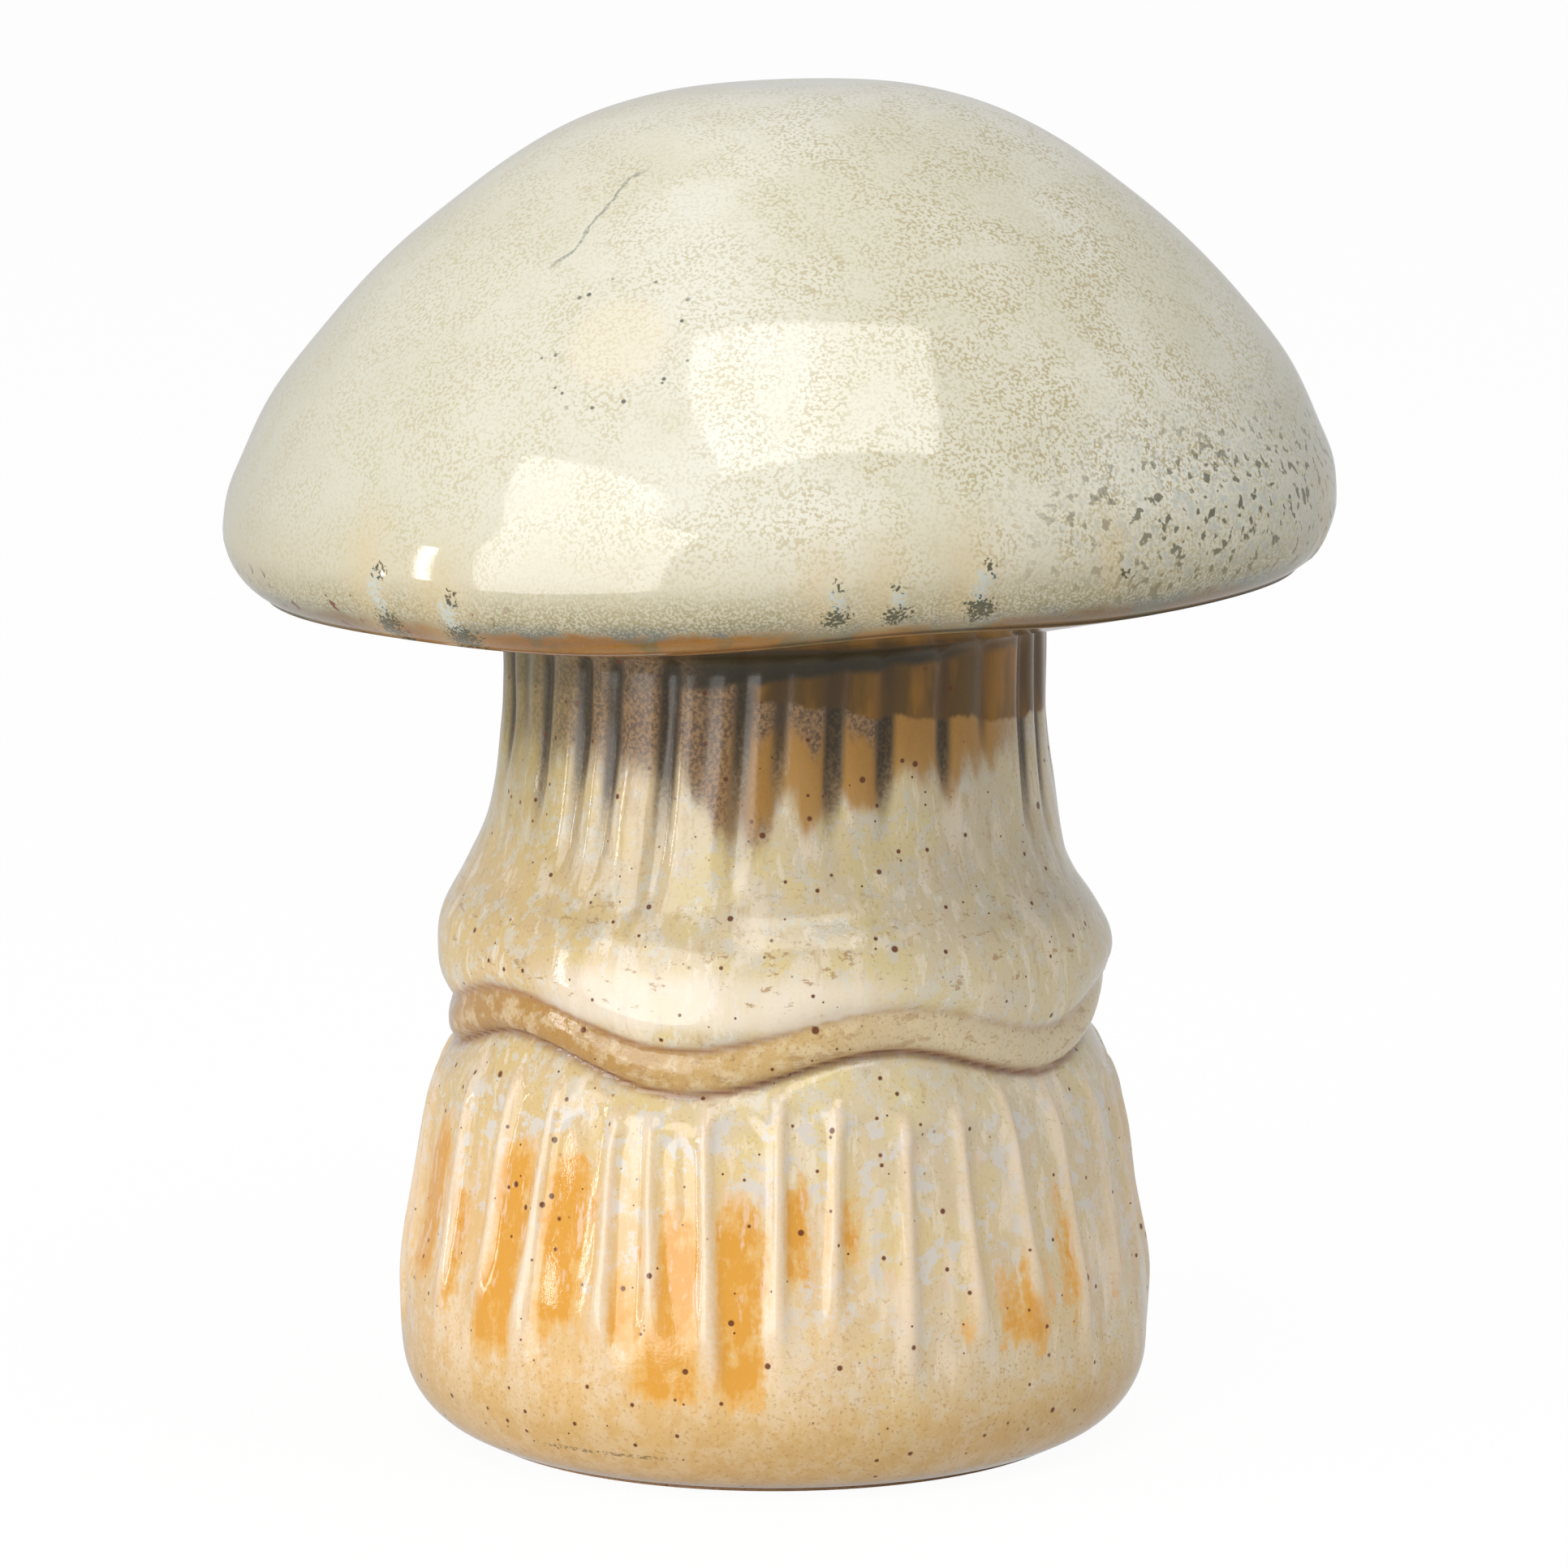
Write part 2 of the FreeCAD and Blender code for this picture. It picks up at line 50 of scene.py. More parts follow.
def colour(hex_code):
    """An sRGB hex colour as linear red, green, blue and a full alpha."""
    channels = [int(hex_code[i:i + 2], 16) / 255 for i in (1, 3, 5)]
    linear = [c / 12.92 if c <= 0.04045 else ((c + 0.055) / 1.055) ** 2.4 for c in channels]
    return (*linear, 1.0)


def add_node(tree, kind, inputs=None, **settings):
    """Adds a node with its settings, fills or links its inputs, and hands back its outputs."""
    node = tree.nodes.new("ShaderNode" + kind)
    for name, value in settings.items():
        setattr(node, name, value)
    for key, value in (inputs or {}).items():
        if isinstance(value, bpy.types.NodeSocket):
            tree.links.new(value, node.inputs[key])
        else:
            node.inputs[key].default_value = value
    return node.outputs


def new_material(name):
    """An empty material, its node tree, and the place on the object in millimetres."""
    material = bpy.data.materials.new(name)
    material.use_nodes = True
    tree = material.node_tree
    tree.nodes.clear()
    metres = add_node(tree, "TexCoord")["Object"]
    place = add_node(tree, "VectorMath", {0: metres, "Scale": 1 / MM}, operation="SCALE")[0]
    return material, tree, place


def mottle(tree, place, size, detail=2.0, roughness=0.5, squeeze=(1.0, 1.0, 1.0), offset=0.0):
    """Soft mottle from 0 to 1 with lumps of about this size; squeeze packs them closer on an axis."""
    spread = add_node(tree, "Mapping", {
        "Vector": place, "Location": (offset, offset, offset), "Scale": tuple(s / size for s in squeeze),
    })[0]
    return add_node(tree, "TexNoise", {
        "Vector": spread, "Scale": 1.0, "Detail": detail, "Roughness": roughness,
    })["Fac"]


def sum_of(tree, *terms):
    """Adds up terms: each is a value of the surface, its weight, and the middle taken off it first."""
    total = -sum(weight * middle for _, weight, middle in terms)
    for value, weight, _ in terms:
        total = add_node(tree, "Math", {0: value, 1: weight, 2: total}, operation="MULTIPLY_ADD")[0]
    return total


def product_of(tree, *shares):
    """Multiplies shares: each is a number, a value of the surface, or the fade of such a value.

    A fade is the value, the two bounds that it fades between, and the share at each of them,
    which is 0 and 1 where it isn't given.
    """
    factors = []
    for share in shares:
        if isinstance(share, tuple):
            fade = dict(enumerate(share))
            share = add_node(tree, "MapRange", fade, interpolation_type="SMOOTHSTEP")[0]
        factors.append(share)
    product = factors[0]
    for factor in factors[1:]:
        product = add_node(tree, "Math", {0: product, 1: factor}, operation="MULTIPLY")[0]
    return product


def lay_colours(tree, ground, *layers):
    """Lays colours over a ground, one after another. A layer is its colour and then its shares."""
    for over, *shares in layers:
        over = colour(over) if isinstance(over, str) else over
        cover = product_of(tree, *shares)
        ground = add_node(tree, "Mix", {"Factor": cover, 6: ground, 7: over}, data_type="RGBA")[2]
    return ground


def finish_material(tree, base, roughness, height, relief):
    """The shader and its bump, whose height is in shares of the relief."""
    bump = add_node(tree, "Bump", {"Height": height, "Distance": relief * MM, "Strength": 1.0})[0]
    shader = add_node(tree, "BsdfPrincipled", {
        "Base Color": base, "Roughness": roughness, "Normal": bump,
    })[0]
    add_node(tree, "OutputMaterial", {"Surface": shader})


# Fired stoneware: matt and toothy, with sand-sized grit and darker iron grains
grit_size, cloud_size, iron_spacing, stoneware_relief = 0.35, 9.0, 1.6, 0.12
stoneware, tree, place = new_material("fired_buff_stoneware")
grit = mottle(tree, place, grit_size, detail=4.0)
clouds = mottle(tree, place, cloud_size)
iron = add_node(tree, "TexVoronoi", {"Vector": place, "Scale": 1 / iron_spacing})["Distance"]
body_colour = lay_colours(
    tree, colour("#b28c68"),
    ("#9c7654", clouds),
    ("#d0b08c", (grit, 0.35, 0.7, 0.0, 0.35)),
    ("#4a2f1e", (iron, 0.10, 0.16, 0.8, 0.0)),
)
finish_material(tree, body_colour, 0.85, grit, stoneware_relief)

for node_name in ("cap_casting", "stem_casting", "ring_coil", "neck_coil", "luting_slip"):
    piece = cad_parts[node_name]
    piece.data.materials.clear()
    piece.data.materials.append(stoneware)


# Cap glaze coat
# A glossy reactive glaze, 0.7 mm thick, poured over the whole cap. It is pale and mottled, with painted shade
# greying it at the left and right limbs, and runs in drips that pool olive and amber along the lower edge.
joint_height, cap_roll, cap_nod = 73.7, math.radians(-1.8), math.radians(1.1)
cap_shift, crown_lean = 0.7, 1.8
underside_flat, rim_radius, rim_rounding, rim_level = 27.8, 49.7, 6.4, 9.4
crown_height, corner_radius = 37.4, 26.5
glaze_thickness = 0.7
# The dome above the rim: shares of the way up, and of the rim's radius there
dome_shares = (
    (0.08, 0.992), (0.16, 0.967), (0.32, 0.907), (0.48, 0.813), (0.62, 0.712), (0.735, 0.610),
    (0.845, 0.496), (0.93, 0.374), (0.982, 0.243), (1.0, 0.12),
)
CAP_STEPS, RIM_PARTS = 384, 6
CAP_ROW, CAP_INNER_ROW = 0.8, 4.0
WELD_DISTANCE = 0.002


def smooth_line(stations, row):
    """Points along a smooth line through the stations, about one row apart."""
    stations = np.array(stations, dtype=float)
    padded = np.vstack([2 * stations[0] - stations[1], stations, 2 * stations[-1] - stations[-2]])
    points = []
    for before, start, end, after in zip(padded, padded[1:], padded[2:], padded[3:]):
        count = max(1, round(float(np.linalg.norm(end - start)) / row))
        for share in np.arange(count) / count:
            square, cube = share ** 2, share ** 3
            points.append(0.5 * (2 * start + (end - before) * share
                                 + (2 * before - 5 * start + 4 * end - after) * square
                                 + (3 * start - before - 3 * end + after) * cube))
    return [tuple(point) for point in points + [stations[-1]]]


def turned(name, outline, steps):
    """Spins a closed outline of (radius, height) points all the way round."""
    following = [*range(1, len(outline)), 0]
    edges = [(i, j) for i, j in enumerate(following) if outline[i][0] or outline[j][0]]
    mesh = bpy.data.meshes.new(name)
    mesh.from_pydata([(r * MM, 0.0, z * MM) for r, z in outline], edges, [])
    piece = bpy.data.objects.new(name, mesh)
    bpy.context.scene.collection.objects.link(piece)
    bpy.ops.object.select_all(action="DESELECT")
    bpy.context.view_layer.objects.active = piece
    piece.select_set(True)
    bpy.ops.object.mode_set(mode="EDIT")
    bpy.ops.mesh.select_all(action="SELECT")
    bpy.ops.mesh.spin(steps=steps, angle=2 * math.pi, center=(0, 0, 0), axis=(0, 0, 1))
    bpy.ops.mesh.select_all(action="SELECT")
    bpy.ops.mesh.remove_doubles(threshold=WELD_DISTANCE * MM)
    bpy.ops.mesh.normals_make_consistent(inside=False)
    bpy.ops.object.mode_set(mode="OBJECT")
    bpy.ops.object.shade_smooth()
    return piece


def mesh_points(piece):
    """The piece's vertices in millimetres, one row each."""
    flat = np.empty(len(piece.data.vertices) * 3)
    piece.data.vertices.foreach_get("co", flat)
    return flat.reshape(-1, 3) / MM


def set_mesh_points(piece, points):
    """Writes the vertices back from millimetres."""
    piece.data.vertices.foreach_set("co", (points * MM).ravel())
    piece.data.update()


def store_marks(piece, marks):
    """Keeps named values from 0 to 1 with the vertices, for the glaze's material."""
    for name, values in marks.items():
        attribute = piece.data.attributes.new(name, "FLOAT", "POINT")
        attribute.data.foreach_set("value", np.clip(values, 0, 1).astype(np.float32))


def step(values, low, high):
    """Smooth step of an array, from 0 at low to 1 at high."""
    share = np.clip((values - low) / (high - low), 0, 1)
    return share * share * (3 - 2 * share)


def hump(values, centre, width):
    """A bell of height 1 at the centre that has faded to a third at one width."""
    return np.exp(-((values - centre) / width) ** 2)


def cap_outline(skin):
    """Stations of the cap from the neck to the crown, a skin's thickness inside the glaze."""
    rounding, rim_middle = rim_rounding - skin, rim_radius - rim_rounding
    across, down = rim_middle - underside_flat, rim_level - skin
    slope = math.atan2(down, across) - math.asin(rounding / math.hypot(across, down))
    first = slope - math.pi / 2
    rim_arc = [first - first * i / RIM_PARTS for i in range(RIM_PARTS + 1)]
    dome_radius, dome_height = rim_radius - skin, crown_height - skin
    line = [(corner_radius, skin), (underside_flat, skin)]
    line += [(rim_middle + rounding * math.cos(a), rim_level + rounding * math.sin(a)) for a in rim_arc]
    line += [(share * dome_radius, rim_level + up * dome_height) for up, share in dome_shares]
    return line + [(0.0, rim_level + dome_height)]


cap_skin = smooth_line(cap_outline(0.0), CAP_ROW)
cap_inside = smooth_line(cap_outline(glaze_thickness), CAP_INNER_ROW)
cap_coat = turned("cap_glaze_coat", cap_skin + cap_inside[::-1], CAP_STEPS)

# The rim sags a little left of the front and lifts right of it.
lift_height, lift_angle, lift_spread = 0.75, 14, 16
sag_depth, sag_angle, sag_spread = 0.6, -22, 18
rim_zone_radii, rim_zone_levels = (34, 47), (14, 26)
x, y, z = mesh_points(cap_coat).T
angle = np.degrees(np.arctan2(x, -y))
radius = np.hypot(x, y)
near_rim = step(radius, *rim_zone_radii) * (1 - step(z, *rim_zone_levels))
lift = lift_height * hump(angle, lift_angle, lift_spread)
z = z + near_rim * (lift - sag_depth * hump(angle, sag_angle, sag_spread))

# Each drip: its angle, its width, and the levels at which it ends and starts
drips = (
    (-43.3, 0.75, 3.6, 10.4), (-34.2, 0.95, 3.3, 8.2), (5.4, 0.65, 5.6, 9.2), (11.4, 0.7, 5.6, 9.0),
    (19.9, 0.8, 5.4, 10.2), (35.6, 0.4, 7.6, 9.4), (76, 0.8, 4.0, 9.4), (118, 0.9, 3.8, 8.6),
    (151, 0.7, 4.2, 9.8), (-160, 0.9, 3.6, 9.0), (-121, 0.8, 4.0, 10.0), (-88, 0.9, 3.7, 8.4),
)
drip_thickness, drip_fade, drip_wander, wander_rate = 0.2, 0.8, 0.3, 1.7
halo_shift, halo_under, halo_into, halo_over = -1.2, 2.5, 1, 7
top_pool_shift = 0.3
drip, drip_halo, drip_end = np.zeros_like(z), np.zeros_like(z), np.zeros_like(z)
for drip_angle, width, end, start in drips:
    length = start - end
    aside = (angle - drip_angle) * math.radians(1) * radius
    aside = aside + drip_wander * np.sin(wander_rate * z + drip_angle)
    along = step(z, end, end + drip_fade) * (1 - step(z, start - drip_fade, start))
    drip = np.maximum(drip, hump(aside, 0, width) * along)
    warm = step(z, end - halo_under, end + halo_into) * (1 - step(z, start, start + halo_over))
    drip_halo = np.maximum(drip_halo, hump(aside, halo_shift, 3.4 * width) * warm)
    foot_pool = hump(aside, 0, 1.7 * width) * hump(z, end + 0.16 * length, 0.22 * length)
    top_pool = hump(aside, top_pool_shift, 0.7 * width) * hump(z, start - 0.1 * length, 0.11 * length)
    drip_end = np.maximum(drip_end, np.maximum(1.25 * foot_pool, 1.15 * top_pool))
LEVEL_SPAN = 50
store_marks(cap_coat, {
    "drip": drip, "drip_halo": drip_halo, "drip_end": drip_end, "level": z / LEVEL_SPAN,
})

# The dome is faintly uneven, and drawn in so that its high places keep to the cast form. Its push
# fades out near the crown. Then it leans, and the whole cap is set down on the stem at a tilt.
wave_depth, wave_across, wave_back = 0.12, 11, 9
ripple_depth, ripple_across, ripple_back, ripple_up = 0.08, 5, 7, 4
drawn_in, crown_reach = 0.18, 8
wobble = wave_depth * np.sin(x / wave_across + 1) * np.sin(y / wave_back)
wobble = wobble + ripple_depth * np.sin(x / ripple_across + y / ripple_back + z / ripple_up)
push = 1 + (wobble + drip_thickness * drip - drawn_in) / np.maximum(radius, crown_reach)
rise = np.clip((z - rim_level) / crown_height, 0, 1)
x, y = x * push + cap_shift + rise * crown_lean, y * push
tilt = np.array(Matrix.Rotation(cap_roll, 3, "Y") @ Matrix.Rotation(cap_nod, 3, "X"))
set_mesh_points(cap_coat, np.column_stack([x, y, z]) @ tilt.T + (0, 0, joint_height))

# Reactive glaze: glassy and pale, broken by olive-tan flecks a third of a millimetre wide
fleck_size, speckle_size, cloud_size, patch_size, cap_relief = 0.31, 0.24, 16.0, 5.0, 0.004
cap_middle, cloud_reach = 4, 10
grey_limb_shade, dark_limb_shade, left_side, fleck_side = (30, 54), (48, 60), (-4, -22), (-12, 26)
cap_glaze, tree, place = new_material("mottled_reactive_glaze")
across = add_node(tree, "SeparateXYZ", {"Vector": place})["X"]
drip, drip_halo, drip_end, level_share = (
    add_node(tree, "Attribute", attribute_name=name)["Fac"]
    for name in ("drip", "drip_halo", "drip_end", "level")
)
level = product_of(tree, level_share, LEVEL_SPAN)
clouds = mottle(tree, place, cloud_size, detail=3.0)
flecks = mottle(tree, place, fleck_size)
patches = mottle(tree, place, patch_size, detail=3.0, offset=3.1)
speckle = mottle(tree, place, speckle_size, detail=3.0, offset=1.3)
# Painted shade: the glaze turns grey and then darker towards the cap's left and right limbs, seen from the
# front
off_middle = add_node(tree, "Math", {0: sum_of(tree, (across, 1, cap_middle))}, operation="ABSOLUTE")[0]
limb_shade_reach = sum_of(tree, (off_middle, 1, 0), (clouds, cloud_reach, 0))
glaze = lay_colours(
    tree, colour("#cdcabc"),
    ("#c4c0ac", (clouds, 0.38, 0.62)),
    ("#a5a494", (limb_shade_reach, *grey_limb_shade, 0.0, 0.75)),
    ("#7d7e6f", (limb_shade_reach, *dark_limb_shade, 0.0, 0.6)),
    ("#bcb8a6", (across, *left_side, 0.0, 0.6)),
    ("#a79b77", (flecks, 0.48, 0.60), (patches, 0.35, 0.6, 0.25, 0.75), (across, *fleck_side, 0.75, 1.25)),
)
# Pits where bubbles burst, on the right flank, with paler glaze between them
pit_size, pit_side, pit_levels = 1.0, (12, 36), (24, 12)
pits = mottle(tree, place, pit_size, offset=7.7)
pit_zone = product_of(tree, (across, *pit_side), (level, *pit_levels))
glaze = lay_colours(
    tree, glaze,
    ("#545342", (pits, 0.57, 0.64), pit_zone),
    ("#a3a8a5", (pits, 0.46, 0.38), pit_zone, 0.6),
)
# A faint round peach blush left of the middle, ringed with sparse dots
blush_centre, blush_radius, dot_spacing = (-13.1, -37.4, 101), 4.7, 1.3
from_blush = add_node(tree, "VectorMath", {0: place, 1: blush_centre}, operation="DISTANCE")["Value"]
blush_share = product_of(tree, from_blush, 1 / blush_radius)
dots = add_node(tree, "TexVoronoi", {"Vector": place, "Scale": 1 / dot_spacing})["Distance"]
glaze = lay_colours(
    tree, glaze,
    ("#d3c7ae", (blush_share, 0.7, 1.15, 0.4, 0.0)),
    ("#63655a", (dots, 0.20, 0.12), (blush_share, 1.05, 1.2), (blush_share, 1.7, 1.35)),
)
# A faint grey hairline left of the crown, drawn twice as wide as the real one so that it shows
hairline_start, hairline_end = Vector((-20.6, -30, 112.2)), Vector((-11.2, -22, 116.5))
hairline_width, hairline_wander, hairline_fade = 0.22, 4, 1
hairline = hairline_end - hairline_start
from_start = add_node(tree, "VectorMath", {0: place, 1: hairline_start}, operation="SUBTRACT")[0]
along, beside = (
    add_node(tree, "VectorMath", {0: from_start, 1: direction.normalized()}, operation="DOT_PRODUCT")["Value"]
    for direction in (hairline, hairline.cross(Vector((0, 0, 1))))
)
beside = sum_of(tree, (beside, 1, 0), (patches, hairline_wander, 0.5))
beside = add_node(tree, "Math", {0: beside}, operation="ABSOLUTE")[0]
glaze = lay_colours(tree, glaze, (
    "#7f8278", (beside, hairline_width / 2, hairline_width, 1.0, 0.0), (along, 0.0, hairline_fade),
    (along, hairline.length, hairline.length * 0.9), (speckle, 0.35, 0.55, 0.2, 0.8),
))
# Lower edge: a tan stipple that thickens downwards, a grey-blue band, then amber on the turned-under
# lip, which darkens below and at both sides, with a few rust marks at the left
patch_reach, speckle_reach = 3.0, 2.4
tan_levels, olive_levels, blue_levels = (16, 7), (10, 5.5), (6.6, 5.2)
lip_levels, under_lip_levels = (5.4, 4.3), (3.3, 2)
tan_side, right_lip, left_lip = (40, 18), (0, 26), (-28, -42)
rust_size, rust_side, rust_levels = 1.3, (-18, -28), (8.5, 7)
edge = sum_of(tree, (level, 1, 0), (patches, patch_reach, 0.5), (speckle, speckle_reach, 0.5))
rust = mottle(tree, place, rust_size, offset=9.0)
amber_lip = lay_colours(
    tree, colour("#85550f"),
    ("#6a4c1c", (across, *right_lip)),
    ("#75664a", (across, *left_lip)),
    ("#554a22", (patches, 0.50, 0.62, 0.0, 0.75)),
)
glaze = lay_colours(
    tree, glaze,
    ("#b3a88c", (edge, *tan_levels, 0.0, 0.5), (across, *tan_side, 0.35, 1.0)),
    ("#857a50", (edge, *olive_levels), (speckle, 0.44, 0.56, 0.15, 0.85)),
    ("#616660", (edge, *blue_levels), (patches, 0.44, 0.56, 0.3, 0.9), (speckle, 0.38, 0.54, 0.4, 1.0)),
    (amber_lip, (edge, *lip_levels, 0.0, 0.92)),
    ("#3f2d14", (level, *under_lip_levels, 0.0, 0.9)),
    ("#6b3d2a", (rust, 0.64, 0.68), (across, *rust_side), (level, *rust_levels)),
)
# Drips: a warm halo, a pale grey-blue run with ragged edges, and olive-black where it starts and ends
ragged_run, ragged_end = (sum_of(tree, (mark, 1, 0), (flecks, 3.2, 0.5)) for mark in (drip, drip_end))
glaze = lay_colours(
    tree, glaze,
    ("#bda87c", drip_halo, 0.42),
    ("#b0b5ae", (ragged_run, 0.50, 0.75, 0.0, 0.85), (drip, 0.08, 0.25)),
    ("#45422b", (ragged_end, 0.40, 0.75, 0.0, 0.92), (drip_end, 0.08, 0.25)),
)
relief = sum_of(tree, (flecks, 0.6, 0), (speckle, 0.4, 0))
finish_material(tree, glaze, product_of(tree, (flecks, 0.45, 0.60, 0.04, 0.07)), relief, cap_relief)
cap_coat.data.materials.append(cap_glaze)
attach(cap_coat, "root")
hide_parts("cap_glaze")


# Stem glaze coat
# The stem is carved before glazing: narrow grooves down the neck, a rolled wavy band under the skirt
# and long flutes round the bulb. The glaze is cream on the high places and amber or olive in the low.
foot_rounding, bulb_radius, dry_foot, foot_edge = 8.0, 33.7, 0.6, 27.6
corner_rounding, corner_level, joint_top, joint_radius = 2.4, 71.3, 74.2, 23.6
# The wall from the bulb to the neck: radius and height
stem_stations = (
    (33.70, 8.0), (33.70, 11.0), (33.49, 15.8), (32.46, 21.6), (31.58, 27.4), (30.57, 31.7), (29.10, 34.9),
    (27.80, 37.5), (28.79, 39.6), (30.00, 43.0), (29.32, 47.1), (27.15, 51.05), (25.67, 55.0), (24.93, 59.6),
    (24.50, 63.2), (24.30, 66.0), (24.30, 71.4),
)
STEM_STEPS, FOOT_PARTS = 480, 5
STEM_ROW, STEM_INNER_ROW = 0.45, 5.0


def stem_outline(skin):
    """Stations of the stem from foot to corner, a skin's thickness inside the glaze."""
    foot_centre, rounding = bulb_radius - foot_rounding, foot_rounding - skin
    first = -math.asin(min(1.0, (foot_rounding - dry_foot) / rounding))
    foot_arc = [first * (1 - i / FOOT_PARTS) for i in range(FOOT_PARTS)]
    line = [(foot_centre + rounding * math.cos(a), foot_rounding + rounding * math.sin(a)) for a in foot_arc]
    return line + [(r - skin, z) for r, z in stem_stations]


stem_skin = smooth_line(stem_outline(0.0), STEM_ROW)
stem_inside = smooth_line([(foot_edge, dry_foot)] + stem_outline(glaze_thickness)[2:], STEM_INNER_ROW)
corner_first, corner_last, corner_turn = 24, 90, 6
corner_angles = np.radians(range(corner_first, corner_last + 1, corner_turn)).tolist()
corner = [
    (corner_radius - corner_rounding * math.cos(a), corner_level + corner_rounding * math.sin(a))
    for a in corner_angles
]
joint_edge = [(corner_radius, joint_top), (joint_radius, joint_top)]
stem_coat = turned("stem_glaze_coat", stem_skin + corner + joint_edge + stem_inside[::-1], STEM_STEPS)

# Every tool mark below moves the outer wall in or out, and leaves the inside of the coat alone.
x, y, z = mesh_points(stem_coat).T
angle = np.degrees(np.arctan2(x, -y))
radius = np.hypot(x, y)
wall_radii, wall_heights = np.array(stem_skin).T
wall_here = np.interp(z, wall_heights, wall_radii)
wall_margin = 0.3
on_outside = radius > wall_here - wall_margin


def turn_from(centre, drift=0.0, at_height=0.0):
    """Sideways distance from a line at an angle, which drifts by some degrees per millimetre up."""
    return ((angle - centre - drift * (z - at_height) + 180) % 360 - 180) * math.radians(1) * radius


# Neck grooves: each one stroke, deepest under the cap, fading out where the neck flares. Each has its
# angle, the height at which it fades and its share of the depth. Those at the back are spread evenly.
neck_grooves = (
    (-73, 60, 1.0), (-64, 63, 0.6), (-55, 56, 1.0), (-42.7, 52, 1.2), (-34.4, 51, 1.0), (-21.5, 50, 1.3),
    (-13, 60, 0.5), (-5.8, 55, 1.0), (2, 59, 0.8), (13.2, 57, 1.2), (24.2, 58, 1.1), (38.2, 60, 1.0),
    (49.6, 63, 0.7), (64.8, 54, 1.0), (75, 54, 1.0),
)
back_count, back_angle, back_spacing, back_scatter = 16, 88, 12.3, 2.5
back_fade_height, back_fade_scatter = 60, 2.5
back_grooves = tuple(
    (
        back_angle + back_spacing * i + back_scatter * math.sin(2.3 * i),
        back_fade_height + back_fade_scatter * math.sin(1.7 * i),
        0.9 + 0.2 * math.sin(3.1 * i),
    )
    for i in range(back_count)
)
groove_depth, groove_width, groove_fade = 0.5, 1.05, 4.5
groove_drift, groove_start, groove_end_heights = 0.12, 72, (71.5, 73.5)
groove = np.zeros_like(z)
shallower = 1 - 0.5 * step(z, *groove_end_heights)
for centre, fade_height, depth_share in neck_grooves + back_grooves:
    reach = step(z, fade_height - groove_fade, fade_height + groove_fade) * shallower
    stroke = hump(turn_from(centre, groove_drift, groove_start), 0, groove_width)
    groove = np.maximum(groove, depth_share * reach * stroke)
moved = -groove_depth * groove

# Wavy band: a roll of clay laid in the crease under the skirt, which folds with it. A line is pressed
# in under and over the roll, and the skirt swells a little above it.
ring_height, ring_wave, ring_waves, ring_turn = 38.9, 1.8, 5, 20
fold_height, fold_spread, side_angle, side_spread = 39.5, 6.5, 90, 25
band_half_height, band_inside, band_depth, band_power = 2.0, 27.75, 1.65, 2.6
under_line, under_line_width, under_line_depth = 2.05, 0.38, 0.35
over_line, over_line_width, over_line_depth = 1.95, 0.36, 0.2
swell, swell_rise, swell_spread = 0.25, 4.2, 1.5
wave = ring_wave * np.cos(np.radians(ring_waves * (angle - ring_turn)))
to_right, to_left = hump(angle, side_angle, side_spread), hump(angle, -side_angle, side_spread)
fold = wave * (1 - 0.8 * (to_right + to_left)) * hump(z, fold_height, fold_spread)
moved += np.interp(z - fold, wall_heights, wall_radii) - wall_here
band_height = ring_height + wave
band_reach = np.abs(z - band_height) / band_half_height
band_radius = band_inside + band_depth * np.sqrt(np.clip(1 - band_reach ** band_power, 0, 1))
moved += np.where(band_reach < 1, np.maximum(band_radius - wall_here - moved, 0), 0)
band = 1 - step(band_reach, 0.8, 1.0)
below_band = hump(z, band_height - under_line, under_line_width)
above_band = hump(z, band_height + over_line, over_line_width)
moved -= under_line_depth * below_band + over_line_depth * above_band
swell_share = 0.6 + 0.4 * np.sin(np.radians(2 * angle + 150))
moved += swell * swell_share * hump(z, band_height + swell_rise, swell_spread)

# Flutes round the bulb: scooped hollows with a rounded top and a tapering foot, thin ridges between them
front_ridges = (-62, -50.5, -40.6, -27, -19.6, -10.5, 0.7, 9.5, 21.2, 32, 43, 54, 66, 78)
ridge_count, ridge_angle, ridge_spacing, ridge_scatter = 20, 89, 10.2, 2
back_ridges = tuple(
    ridge_angle + ridge_spacing * i + ridge_scatter * math.sin(1.9 * i) for i in range(ridge_count)
)
ridge_angles = front_ridges + back_ridges
next_angles = ridge_angles[1:] + (ridge_angles[0] + 360,)
flute_depth, flute_foot, foot_scatter, flute_top, top_scatter = 0.42, 10, 3.5, 33.6, 1.3
flute_middle, bulb_wall, foot_taper, foot_fade = 24, 32.4, 4, 7
top_rounding, top_fade, top_overrun = 2.2, 1.1, 0.3
ridge_height, crest_width, crest_spread, spread_heights = 0.34, 0.5, 0.3, (14, 28)
ridge_fade, ridge_overrun = 8, 1.5
zone_from, zone_to = (12, 20), (32.5, 35)
flutes = step(z, *zone_from) * (1 - step(z, *zone_to))
ridge, flute = np.zeros_like(z), np.zeros_like(z)
crest_here = crest_width + crest_spread * (1 - step(z, *spread_heights))
